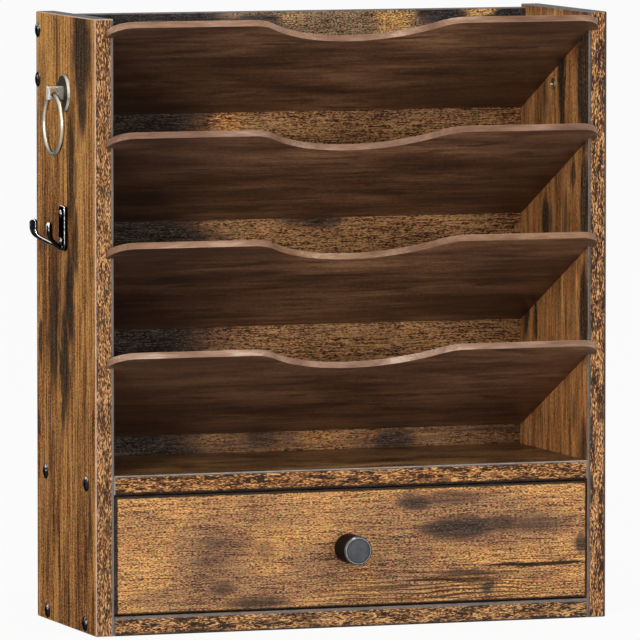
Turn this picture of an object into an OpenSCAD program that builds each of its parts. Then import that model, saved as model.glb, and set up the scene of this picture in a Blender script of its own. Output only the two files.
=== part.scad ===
// Wall mail organizer: two grooved side panels carry four sloping letter boards over an inset
// drawer, with a swinging ring pull on each side and a double key hook on the left side.
// Millimetres. X runs to the right, -Y is the front, +Z is up.
// The origin is the middle of the carcass underside.

/* [Carcass] */
// Width over both side panels
body_w = 335; // [280:1:420]
// Depth of the side panels, without the back sheet
body_d = 122; // [105:1:150]
// Height of the side panels
body_h = 380; // [360:1:460]
// Thickness of the laminated board
panel_t = 12; // [10:0.5:16]
// Chamfer on the boards' long and short arrises
edge_ease = 0.6; // [0.2:0.1:1.5]

/* [Letter boards] */
// Thickness of a letter board
letter_t = 4.2; // [3:0.1:6]
// Slope of the letter boards, rear edge lower, in degrees
letter_slope = 24.3; // [20:0.1:27]
// Drop from the panels' top to the underside of the top letter board, at the panels' front edge
letter_drop = 11.5; // [10:0.1:20]
// Height of the lowest letter board's rear edge over the drawer shelf
letter_rise = 11.5; // [6:0.1:30]
// How far the letter boards stand out of the panels' front edges, along their slope
letter_reach = 15.6; // [12:0.1:24]
// Radius of a letter board's front corners
letter_corner_r = 15; // [8:0.5:20]
// Width of the dip in the front edge
dip_w = 140; // [100:1:180]
// Depth of the dip in the front edge
dip_d = 28; // [15:0.5:34]
// Radius of the two shoulders beside the dip
dip_shoulder_r = 22; // [12:1:40]
// Depth of the grooves in the side panels
groove_d = 5; // [3:0.1:7]

/* [Top rail and back] */
// Thickness of the top rail
rail_t = 9; // [8:0.5:12]
// How far the rail lies under the panels' top
rail_drop = 2; // [1:0.5:6]
// Gap between the rail's lower edge and the top letter board
rail_gap = 6; // [2:0.1:10]
// Thickness of the back sheet
sheet_t = 3; // [2.5:0.1:5]
// How far the back sheet stays inside the carcass outline
sheet_inset = 2; // [1:0.5:4]
// How far the back sheet laps over the top rail
sheet_lap = 12; // [8:0.5:14]
// Diameter of a tack's shank
tack_d = 1.4; // [1:0.1:2]
// Length of a tack under its head
tack_l = 10; // [8:0.5:10.5]

/* [Wall hangers] */
// Distance of each keyhole from the middle
hanger_x = 100; // [60:1:125]
// Width of a hanger plate
hanger_w = 44; // [38:1:60]
// Thickness of a hanger plate
hanger_t = 1.5; // [1:0.1:2]
// Radius of the keyhole's round entry
keyhole_r = 4.5; // [3.5:0.1:5]
// Radius of the keyhole's slot
keyhole_slot_r = 2.3; // [1.8:0.1:2.6]
// Distance from the entry's centre to the end of the slot's centre line
keyhole_l = 8; // [6:0.1:9]
// Depth of the pocket behind a keyhole
pocket_d = 6; // [4:0.1:7]

/* [Drawer] */
// Height of the drawer opening
bay_h = 75; // [60:1:110]
// Gap above and below the drawer front
front_gap = 1; // [0.6:0.1:2]
// Gap between the drawer and each side panel
side_gap = 0.8; // [0.5:0.1:2]
// Thickness of the drawer's sides and back
drawer_t = 9; // [8:0.5:12]
// Height of the drawer's sides
drawer_side_h = 62; // [40:1:68]
// Thickness of the drawer's bottom
drawer_bottom_t = 3; // [2.5:0.1:5]
// Height of the bottom's underside over the sides' lower edges
drawer_bottom_z = 5; // [4:0.5:10]
// Depth of the groove that holds the bottom
drawer_groove_d = 4; // [3:0.1:5]
// Space left behind the closed drawer
drawer_rear_gap = 3.5; // [1:0.5:10]
// Diameter of a dowel
dowel_d = 5; // [4:0.5:6]
// Length of a dowel
dowel_l = 18; // [14:1:24]

/* [Knob] */
// Diameter of the knob
knob_d = 18; // [14:0.5:24]
// Length of the knob
knob_l = 20; // [14:0.5:30]
// Chamfer round the knob's face
knob_ease = 0.9; // [0.4:0.1:2]
// How far the knob sits to the right of the middle
knob_offset = -3.5; // [-20:0.5:20]
// Diameter of the knob's screw
knob_screw_d = 4; // [3:0.5:5]

/* [Ring pulls] */
// Diameter of the round base plate
boss_d = 24; // [20:0.5:30]
// Thickness of the round base plate
boss_t = 2; // [1.5:0.1:4]
// How far the eye stands out from the panel
eye_l = 11.7; // [11.4:0.1:16]
// Thickness of the eye, along the wire
eye_t = 5; // [4.5:0.1:7]
// Height of the eye
eye_h = 8.4; // [7:0.1:11]
// Diameter of the hole in the eye
eye_hole_d = 5.4; // [4.6:0.1:5.6]
// Distance from the panel to the hole's centre
eye_hole_x = 7.7; // [7:0.1:8.5]
// Outer diameter of the ring
ring_d = 40; // [32:0.5:46]
// Diameter of the ring's wire
wire_d = 3; // [2:0.1:3.2]
// Height of the top letter board's underside over the eye's centre, at mid depth
ring_gap = 9.1; // [8:0.1:16]
// Diameter of the screw that holds a ring pull
ring_screw_d = 3; // [2.5:0.1:3.5]

/* [Double hook] */
// Width of the hook's plate
hook_w = 12; // [10:0.5:16]
// Height of the hook's plate
hook_h = 28; // [24:0.5:36]
// Thickness of the hook's plate
hook_t = 2.5; // [2:0.1:4]
// Corner radius of the hook's plate
hook_corner_r = 3; // [1:0.5:5]
// Distance of each hook screw from the plate's end
hook_screw_inset = 5.4; // [4.5:0.1:8]
// Height of the second letter board's underside over the hook's plate, at mid depth
hook_gap = 11.2; // [8:0.1:20]
// Angle between a prong and straight out, in degrees
prong_turn = 52; // [35:1:60]
// Rise of a prong's arm, in degrees
prong_rise = 21; // [15:1:30]
// Reach of a prong from the plate's face
prong_reach = 23.5; // [18:0.5:30]
// Height of a prong's tip over the plate's lower edge
prong_h = 19; // [16:0.5:24]
// Height of a prong's arm
prong_arm_h = 2.2; // [1.8:0.1:3]
// Thickness of a prong
prong_t = 2.2; // [1.8:0.1:3]
// Width of a prong's flat tip
prong_tip_w = 5.2; // [4:0.1:7]
// Radius of a prong's outer bend
prong_bend_r = 8; // [6:0.5:9]
// Radius of a prong's inner bend
prong_crook_r = 4.5; // [1.5:0.5:5]

/* [Fasteners] */
// Head diameter of the panel screws
screw_head_d = 9.2; // [7:0.1:11]
// Head height of the panel screws
screw_head_h = 1.7; // [1.5:0.1:3]
// Shank diameter of the panel screws
screw_d = 3.5; // [3:0.1:4]
// Length of the panel screws under the head
screw_l = 30; // [25:1:35]
// Distance of the rail's screws from its upper and lower edges
rail_screw_inset = 9.5; // [7:0.5:12]
// Distance of the shelf's screws from the panels' front and back edges
shelf_screw_inset = 19; // [12:0.5:30]
// Distance of the bottom board's screws from the panels' front and back edges
base_screw_inset = 22; // [12:0.5:30]

/* [Fits] */
// Play of the letter boards in their grooves, and of a panel in a groove
groove_play = 0.2; // [0.1:0.05:0.5]
// Gap round a fastener's shank
shank_play = 0.05; // [0.02:0.01:0.1]
// Gap between pieces that slide or swing past each other
slide_play = 0.3; // [0.2:0.05:0.5]

/* [Hidden] */
$fn = 64;
eps = 0.01;
letter_count = 4;

// Faces of the carcass
outer_x = body_w / 2;
inner_x = outer_x - panel_t;
front_y = -body_d / 2;
back_y = body_d / 2;
base_top = panel_t;
shelf_z = base_top + bay_h;
shelf_top = shelf_z + panel_t;

// Letter boards, placed by their undersides at the panels' front edges
letter_top_z = body_h - letter_drop;
letter_low_z = shelf_top + letter_rise + body_d * tan(letter_slope);
letter_pitch = (letter_top_z - letter_low_z) / (letter_count - 1);
letter_half_w = inner_x + groove_d - groove_play;
letter_rear = (body_d - groove_play - letter_t * sin(letter_slope)) / cos(letter_slope);
function letter_z(i) = letter_top_z - (i - 1) * letter_pitch;
function letter_under(i, y) = letter_z(i) - (y - front_y) * tan(letter_slope);
function letter_over(i, y) = letter_under(i, y) + letter_t / cos(letter_slope);

// The dip is one wide arc that runs into the two shoulder arcs
dip_half_w = dip_w / 2;
dip_sum_r = (dip_half_w * dip_half_w + dip_d * dip_d) / (2 * dip_d);
dip_r = dip_sum_r - dip_shoulder_r;
dip_turn = asin(dip_half_w / dip_sum_r);
dip_join = dip_shoulder_r * (1 - cos(dip_turn));

// Top rail and back sheet
rail_top = body_h - rail_drop;
rail_low = letter_over(1, back_y - rail_t) + rail_gap;
rail_h = rail_top - rail_low;
sheet_top = rail_low + sheet_lap;
sheet_low = sheet_inset;
sheet_half_w = outer_x - sheet_inset;
tack_x = outer_x - panel_t * 0.42;
tack_head_r = 1.7;
tack_head_h = 0.6;
hanger_z = (sheet_top + rail_top) / 2;
hanger_screw_x = hanger_w / 2 - 6;
hanger_screw_d = 3;
hanger_screw_l = 7;
hanger_head_d = 5.6;
hanger_head_h = 1.4;
hanger_corner_r = 3;
hanger_h = keyhole_l + 2 * keyhole_r + 3;
pocket_r = keyhole_r + 0.8;

// Each screw through a side panel, as depth, height and which board it holds
panel_screws = [
    [back_y - rail_t / 2, rail_top - rail_screw_inset],
    [back_y - rail_t / 2, rail_low + rail_screw_inset],
    [front_y + shelf_screw_inset, shelf_z + panel_t / 2],
    [back_y - shelf_screw_inset, shelf_z + panel_t / 2],
    [front_y + base_screw_inset, panel_t / 2],
    [back_y - base_screw_inset, panel_t / 2]
];

// Drawer
drawer_half_w = inner_x - side_gap;
drawer_floor = base_top + slide_play;
drawer_side_top = drawer_floor + drawer_side_h;
drawer_box_y = front_y + panel_t;
drawer_rear_y = back_y - drawer_rear_gap;
drawer_back_y = drawer_rear_y - drawer_t;
drawer_front_z = base_top + front_gap;
drawer_front_h = bay_h - 2 * front_gap;
bottom_low = drawer_floor + drawer_bottom_z;
bottom_top = bottom_low + drawer_bottom_t;
dowel_depth = panel_t * 0.62;
dowel_inset = 14;
knob_z = drawer_front_z + drawer_front_h / 2;
knob_bore_l = knob_l * 0.45;
knob_thread_l = knob_l * 0.35;

// Ring pulls
ring_y = 0;
ring_z = letter_under(1, ring_y) - ring_gap;
wire_r = wire_d / 2;
ring_centre_r = ring_d / 2 - wire_r;
wire_sag = ring_centre_r - sqrt(ring_centre_r * ring_centre_r - eye_t * eye_t / 4);
ring_hang = eye_hole_d / 2 - wire_r - wire_sag - slide_play;
boss_bevel = boss_t * 0.6;
boss_bore_l = eye_hole_x - eye_hole_d / 2 - 0.9;

// Double hook
hook_y = 1;
hook_top = letter_under(2, 0) - hook_gap;
hook_z = hook_top - hook_h;
hook_screw_d = 2.6;
hook_head_d = 5.4;
hook_head_h = 1.6;
hook_screw_l = panel_t - 2;

// Basic shapes

// Rectangle with chamfered corners
module eased_rect(a, b, ease) {
    polygon([
        [ease, 0], [a - ease, 0], [a, ease], [a, b - ease],
        [a - ease, b], [ease, b], [0, b - ease], [0, ease]
    ]);
}

// Board with every arris chamfered
module eased_box(size, ease) {
    intersection() {
        linear_extrude(size.z) eased_rect(size.x, size.y, ease);
        translate([0, size.y, 0])
            rotate([90, 0, 0])
                linear_extrude(size.y) eased_rect(size.x, size.z, ease);
        rotate([90, 0, 90])
            linear_extrude(size.x) eased_rect(size.y, size.z, ease);
    }
}

// Rectangle with round corners, centred
module round_rect(a, b, r) {
    square([a - 2 * r, b], center = true);
    square([a, b - 2 * r], center = true);
    for (x = [-1, 1], y = [-1, 1])
        translate([x * (a / 2 - r), y * (b / 2 - r)]) circle(r);
}

// Screw that stands on z = 0, with its domed and cross-slotted head above and its shank below
module pan_screw(head_d, head_h, d, l) {
    dome_h = head_h * 0.65;
    dome_r = (head_d * head_d / 4 + dome_h * dome_h) / (2 * dome_h);
    slot_w = head_d * 0.14;
    slot_l = head_d * 0.55;
    tip_l = d;
    difference() {
        intersection() {
            cylinder(d = head_d, h = head_h);
            translate([0, 0, head_h - dome_r]) sphere(dome_r);
        }
        for (a = [0, 90])
            rotate([0, 0, a])
                translate([-slot_l / 2, -slot_w / 2, head_h * 0.45]) cube([slot_l, slot_w, head_h]);
    }
    translate([0, 0, tip_l - l]) cylinder(d = d, h = l - tip_l + eps);
    translate([0, 0, -l]) cylinder(d1 = d * 0.2, d2 = d, h = tip_l + eps);
}

// Hole for a pan_screw's shank
module screw_hole(d, l) {
    translate([0, 0, -l]) cylinder(d = d + 2 * shank_play, h = l + eps);
}

// Tack that points down, its head flush with z = 0
module tack() {
    translate([0, 0, -tack_head_h]) cylinder(r = tack_head_r, h = tack_head_h);
    translate([0, 0, tack_d - tack_l]) cylinder(d = tack_d, h = tack_l - tack_d - tack_head_h + eps);
    translate([0, 0, -tack_l]) cylinder(d1 = tack_d * 0.2, d2 = tack_d, h = tack_d + eps);
}

// Hole for a tack
module tack_hole() {
    translate([0, 0, -tack_head_h]) cylinder(r = tack_head_r + shank_play, h = 2 * tack_head_h);
    translate([0, 0, -tack_l]) cylinder(d = tack_d + 2 * shank_play, h = tack_l);
}

// Turns +Z to the outside of the left (-1) or right (+1) panel
module facing(side) {
    rotate([0, side * 90, 0]) children();
}

// Frame of letter board i: x along its width, y down its slope, z through its thickness
module on_slope(i) {
    translate([0, front_y, letter_z(i)]) rotate([-letter_slope, 0, 0]) children();
}

// Carcass

// Places of the tacks in the back sheet, as x and z
function tack_places() = [
    for (side = [-1, 1], k = [0 : 4]) [side * tack_x, sheet_low + 14 + k * (sheet_top - sheet_low - 26) / 4],
    for (x = [-inner_x * 0.5, inner_x * 0.5]) [x, panel_t * 0.55],
    for (x = [-inner_x * 0.5, inner_x * 0.5]) [x, shelf_z + panel_t / 2],
    for (x = [-inner_x * 0.5, 0, inner_x * 0.5]) [x, rail_low + sheet_lap / 2]
];

module at_tacks(places) {
    for (p = places)
        translate([p.x, back_y + sheet_t, p.y]) rotate([-90, 0, 0]) children();
}

module tack_holes() {
    at_tacks(tack_places()) tack_hole();
}

module letter_grooves(side) {
    for (i = [1 : letter_count])
        on_slope(i)
            translate([side > 0 ? inner_x - 1 : -inner_x - groove_d, -20, -groove_play / 2])
                cube([groove_d + 1, body_d / cos(letter_slope) + 60, letter_t + groove_play]);
}

module side_panel(side) {
    difference() {
        translate([side > 0 ? inner_x : -outer_x, front_y, 0])
            eased_box([panel_t, body_d, body_h], edge_ease);
        letter_grooves(side);
        for (p = panel_screws)
            translate([side * outer_x, p.x, p.y])
                facing(side) screw_hole(screw_d, screw_l + 1);
        translate([side * (inner_x - 1), ring_y, ring_z])
            facing(side) cylinder(d = ring_screw_d + 2 * shank_play, h = panel_t + 2);
        tack_holes();
        if (side < 0) at_hook_screws() screw_hole(hook_screw_d, hook_screw_l + 0.5);
    }
}

module left_side_panel() {
    color("peru") side_panel(-1);
}

module right_side_panel() {
    color("peru") side_panel(1);
}

// Cuts that a cross board gets for the screws of both side panels
module cross_board_holes(first) {
    for (side = [-1, 1], k = [first, first + 1])
        translate([side * outer_x, panel_screws[k].x, panel_screws[k].y])
            facing(side) screw_hole(screw_d, screw_l + 1);
    tack_holes();
}

module cross_board(low, t, h, first) {
    difference() {
        translate([-inner_x, back_y - t, low]) eased_box([2 * inner_x, t, h], edge_ease);
        cross_board_holes(first);
    }
}

// Keyhole with its round entry below and its slot above
module keyhole(entry_r, slot_r) {
    translate([0, -keyhole_l / 2]) circle(entry_r);
    translate([-slot_r, -keyhole_l / 2]) square([2 * slot_r, keyhole_l]);
    translate([0, keyhole_l / 2]) circle(slot_r);
}

// Frame of a hanger: x across, y up, z towards the wall, from the rail's back face
module at_hanger(side) {
    translate([side * hanger_x, back_y, hanger_z]) rotate([90, 0, 180]) children();
}

module at_hanger_screws() {
    for (side = [-1, 1], x = [-1, 1])
        at_hanger(side) translate([x * hanger_screw_x, 0, hanger_t]) children();
}

module top_rail() {
    color("saddlebrown")
        difference() {
            cross_board(rail_low, rail_t, rail_h, 0);
            for (side = [-1, 1])
                at_hanger(side)
                    translate([0, 0, -pocket_d])
                        linear_extrude(pocket_d + eps) keyhole(pocket_r, pocket_r);
            at_hanger_screws() screw_hole(hanger_screw_d, hanger_screw_l + 0.5);
        }
}

module drawer_shelf() {
    color("peru") cross_board(shelf_z, body_d, panel_t, 2);
}

module bottom_board() {
    color("peru") cross_board(0, body_d, panel_t, 4);
}

module back_sheet() {
    color("sienna")
        difference() {
            translate([-sheet_half_w, back_y, sheet_low])
                cube([2 * sheet_half_w, sheet_t, sheet_top - sheet_low]);
            tack_holes();
        }
}

module back_tacks() {
    color("silver") at_tacks(tack_places()) tack();
}

module panel_screw_set(side) {
    color("dimgray")
        for (p = panel_screws)
            translate([side * outer_x, p.x, p.y])
                facing(side) pan_screw(screw_head_d, screw_head_h, screw_d, screw_l);
}

// Letter boards

// What the dip takes out of the front edge, measured from the front edge
module dip_cut() {
    difference() {
        union() {
            translate([0, dip_d - dip_r]) circle(dip_r, $fn = 160);
            translate([-dip_half_w, -1]) square([dip_w, dip_join + 1]);
        }
        for (x = [-1, 1])
            translate([x * dip_half_w, dip_shoulder_r]) circle(dip_shoulder_r, $fn = 96);
    }
}

module letter_outline() {
    straight_w = letter_half_w - letter_corner_r;
    full_l = letter_reach + letter_rear;
    difference() {
        union() {
            translate([-letter_half_w, letter_corner_r])
                square([2 * letter_half_w, full_l - letter_corner_r]);
            translate([-straight_w, 0]) square([2 * straight_w, full_l]);
            for (x = [-1, 1])
                translate([x * straight_w, letter_corner_r]) circle(letter_corner_r, $fn = 96);
        }
        dip_cut();
    }
}

module letter_board(i) {
    color("rosybrown")
        on_slope(i)
            translate([0, -letter_reach, 0]) linear_extrude(letter_t) letter_outline();
}

// Wall hangers

module hanger_plate(side) {
    color("silver")
        at_hanger(side)
            difference() {
                linear_extrude(hanger_t)
                    difference() {
                        round_rect(hanger_w, hanger_h, hanger_corner_r);
                        keyhole(keyhole_r, keyhole_slot_r);
                    }
                for (x = [-1, 1])
                    translate([x * hanger_screw_x, 0, -1])
                        cylinder(d = hanger_screw_d + 2 * shank_play, h = hanger_t + 2);
            }
}

module hanger_screws() {
    color("silver") at_hanger_screws() pan_screw(hanger_head_d, hanger_head_h, hanger_screw_d, hanger_screw_l);
}

// Ring pulls

// Round base plate and eye, standing on z = 0 with the ring's wire along y
module ring_boss() {
    difference() {
        union() {
            rotate_extrude()
                polygon([
                    [0, 0], [boss_d / 2, 0], [boss_d / 2, boss_t - boss_bevel],
                    [boss_d / 2 - boss_bevel, boss_t], [0, boss_t]
                ]);
            translate([-eye_h / 2, -eye_t / 2, 0]) eased_box([eye_h, eye_t, eye_l], edge_ease);
        }
        translate([0, eye_t, eye_hole_x]) rotate([90, 0, 0]) cylinder(d = eye_hole_d, h = 2 * eye_t);
        translate([0, 0, -1]) cylinder(d = ring_screw_d + 2 * shank_play, h = boss_bore_l + 1);
    }
}

module ring(side) {
    color("silver")
        translate([side * (outer_x + eye_hole_x), ring_y, ring_z - ring_hang - ring_centre_r])
            rotate([0, 90, 0])
                rotate_extrude() translate([ring_centre_r, 0]) circle(wire_r, $fn = 24);
}

module ring_mount(side) {
    color("silver") translate([side * outer_x, ring_y, ring_z]) facing(side) ring_boss();
}

module ring_screw(side) {
    color("silver")
        translate([side * inner_x, ring_y, ring_z])
            facing(-side) pan_screw(8, 2.4, ring_screw_d, panel_t + boss_bore_l - 0.3);
}

// Double hook

module at_hook() {
    translate([-outer_x, hook_y, hook_z]) rotate([0, 0, 180]) children();
}

module at_hook_screws() {
    at_hook()
        for (z = [hook_screw_inset, hook_h - hook_screw_inset])
            translate([hook_t, 0, z]) rotate([0, 90, 0]) children();
}

// Everything over a line that rises from (start, 0) and bends upwards to x = reach
module swept_area(start, reach, bend_r, top) {
    bend_x = reach - bend_r;
    bend_y = bend_x * tan(prong_rise) + bend_r / cos(prong_rise);
    foot_x = bend_x + bend_r * sin(prong_rise);
    polygon([
        [start, start < 0 ? 0 : start * tan(prong_rise)], [max(start, 0), max(start, 0) * tan(prong_rise)],
        [foot_x, foot_x * tan(prong_rise)], [bend_x, bend_y], [reach, bend_y], [reach, top], [start, top]
    ]);
    intersection() {
        translate([bend_x, bend_y]) circle(bend_r);
        translate([bend_x - bend_r, bend_y - bend_r]) square([2 * bend_r, bend_r + eps]);
    }
}

// Side view of a prong: x out from the plate's face, y up from the plate's lower edge
module prong_outline() {
    tip_r = prong_tip_w / 2;
    tip_x = prong_reach - tip_r;
    tip_y = prong_h - tip_r;
    difference() {
        swept_area(-hook_t / 2, prong_reach, prong_bend_r, tip_y);
        translate([0, prong_arm_h / cos(prong_rise)])
            swept_area(-hook_t, prong_reach - prong_tip_w, prong_crook_r, prong_h);
    }
    translate([tip_x, tip_y]) circle(tip_r);
}

module prong(side) {
    translate([hook_t, 0, 0])
        rotate([90, 0, side * prong_turn])
            translate([0, 0, -prong_t / 2]) linear_extrude(prong_t) prong_outline();
}

module double_hook() {
    color("black")
        difference() {
            at_hook() {
                translate([0, 0, hook_h / 2])
                    rotate([90, 0, 90]) linear_extrude(hook_t) round_rect(hook_w, hook_h, hook_corner_r);
                prong(-1);
                prong(1);
            }
            at_hook_screws() screw_hole(hook_screw_d, hook_t + 1);
        }
}

module hook_screws() {
    color("black")
        at_hook_screws() pan_screw(hook_head_d, hook_head_h, hook_screw_d, hook_screw_l);
}

// Drawer

// Groove for the drawer's bottom, all round the inside of the box
module bottom_groove() {
    translate([
        -drawer_half_w + drawer_t - drawer_groove_d,
        drawer_box_y - drawer_groove_d,
        bottom_low - groove_play / 2
    ])
        cube([
            2 * (drawer_half_w - drawer_t + drawer_groove_d),
            drawer_rear_y - drawer_box_y + drawer_groove_d + 1,
            drawer_bottom_t + groove_play
        ]);
}

// Places of the dowels: two in each corner of the box, along y in front and along x behind
module at_dowels() {
    for (side = [-1, 1], z = [bottom_top + dowel_inset, drawer_side_top - dowel_inset]) {
        translate([side * (drawer_half_w - drawer_t / 2), drawer_box_y - dowel_depth, z])
            rotate([-90, 0, 0]) children();
        translate([side * (drawer_half_w - 1), drawer_back_y + drawer_t / 2, z])
            rotate([0, -side * 90, 0]) children();
    }
}

module dowel_holes() {
    at_dowels()
        translate([0, 0, -shank_play]) cylinder(d = dowel_d + 2 * shank_play, h = dowel_l + 2 * shank_play);
}

module at_drawer_tacks() {
    for (x = [-1, 0, 1])
        translate([x * inner_x * 0.6, drawer_back_y + drawer_t / 2, bottom_low])
            rotate([180, 0, 0]) children();
}

module drawer_tack_holes() {
    at_drawer_tacks() tack_hole();
}

module drawer_front() {
    color("peru")
        difference() {
            translate([-drawer_half_w, front_y, drawer_front_z])
                eased_box([2 * drawer_half_w, panel_t, drawer_front_h], edge_ease);
            bottom_groove();
            dowel_holes();
            translate([knob_offset, front_y - 1, knob_z])
                rotate([-90, 0, 0])
                    cylinder(d = knob_screw_d + 2 * shank_play, h = panel_t + 2);
        }
}

module drawer_side(side) {
    color("burlywood")
        difference() {
            translate([side > 0 ? drawer_half_w - drawer_t : -drawer_half_w, drawer_box_y, drawer_floor])
                cube([drawer_t, drawer_rear_y - drawer_box_y, drawer_side_h]);
            bottom_groove();
            dowel_holes();
        }
}

module drawer_back() {
    color("burlywood")
        difference() {
            translate([-drawer_half_w + drawer_t, drawer_back_y, bottom_top])
                cube([2 * (drawer_half_w - drawer_t), drawer_t, drawer_side_top - bottom_top]);
            dowel_holes();
            drawer_tack_holes();
        }
}

module drawer_bottom() {
    slack = drawer_groove_d - groove_play;
    color("tan")
        difference() {
            translate([-drawer_half_w + drawer_t - slack, drawer_box_y - slack, bottom_low])
                cube([
                    2 * (drawer_half_w - drawer_t + slack),
                    drawer_rear_y - drawer_box_y + slack,
                    drawer_bottom_t
                ]);
            drawer_tack_holes();
        }
}

module drawer_dowels() {
    color("wheat") at_dowels() cylinder(d = dowel_d, h = dowel_l);
}

module drawer_tacks() {
    color("silver") at_drawer_tacks() tack();
}

module drawer_knob() {
    r = knob_d / 2;
    color("dimgray")
        translate([knob_offset, front_y, knob_z])
            rotate([90, 0, 0])
                difference() {
                    rotate_extrude()
                        polygon([
                            [0, 0], [r - knob_ease / 2, 0], [r, knob_ease / 2],
                            [r, knob_l - knob_ease], [r - knob_ease, knob_l], [0, knob_l]
                        ]);
                    translate([0, 0, -1])
                        cylinder(d = knob_screw_d + 2 * shank_play, h = knob_bore_l + 1);
                }
}

module knob_screw() {
    color("silver")
        translate([knob_offset, drawer_box_y, knob_z])
            rotate([-90, 0, 0]) pan_screw(8, 2.6, knob_screw_d, panel_t + knob_thread_l);
}

left_side_panel();
right_side_panel();
top_rail();
back_sheet();
drawer_shelf();
bottom_board();
letter_board(1);  // letter_board_1
letter_board(2);  // letter_board_2
letter_board(3);  // letter_board_3
letter_board(4);  // letter_board_4
panel_screw_set(-1);  // left_panel_screws
panel_screw_set(1);  // right_panel_screws
back_tacks();
hanger_plate(-1);  // left_hanger_plate
hanger_plate(1);  // right_hanger_plate
hanger_screws();
ring_mount(-1);  // left_ring_boss
ring(-1);  // left_ring
ring_screw(-1);  // left_ring_screw
ring_mount(1);  // right_ring_boss
ring(1);  // right_ring
ring_screw(1);  // right_ring_screw
double_hook();
hook_screws();
drawer_front();
drawer_side(-1);  // drawer_left_side
drawer_side(1);  // drawer_right_side
drawer_back();
drawer_bottom();
drawer_dowels();
drawer_tacks();
drawer_knob();
knob_screw();
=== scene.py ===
"""Looks for the wall mail organizer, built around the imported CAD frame.

Metres, in the row frame: X to the right, -Y to the front, +Z up. The places and sizes of stains, streaks
and rounds are in mm.
"""

import math

import bpy
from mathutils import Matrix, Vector


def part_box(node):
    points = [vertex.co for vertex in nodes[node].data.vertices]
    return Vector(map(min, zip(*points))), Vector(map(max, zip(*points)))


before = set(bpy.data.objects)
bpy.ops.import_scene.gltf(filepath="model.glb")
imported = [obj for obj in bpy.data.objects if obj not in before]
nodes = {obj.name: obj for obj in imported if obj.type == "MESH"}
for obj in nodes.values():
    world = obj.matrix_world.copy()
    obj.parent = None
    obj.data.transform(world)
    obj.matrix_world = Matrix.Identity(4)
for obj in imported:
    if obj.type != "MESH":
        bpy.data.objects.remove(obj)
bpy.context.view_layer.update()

MM = 0.001
# A face is square to an axis when its normal has at least this much of it
SQUARE = 0.97
# Slope of the letter boards, rear edge lower
LETTER_SLOPE = math.radians(24.3)


# Node graph helpers


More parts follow.
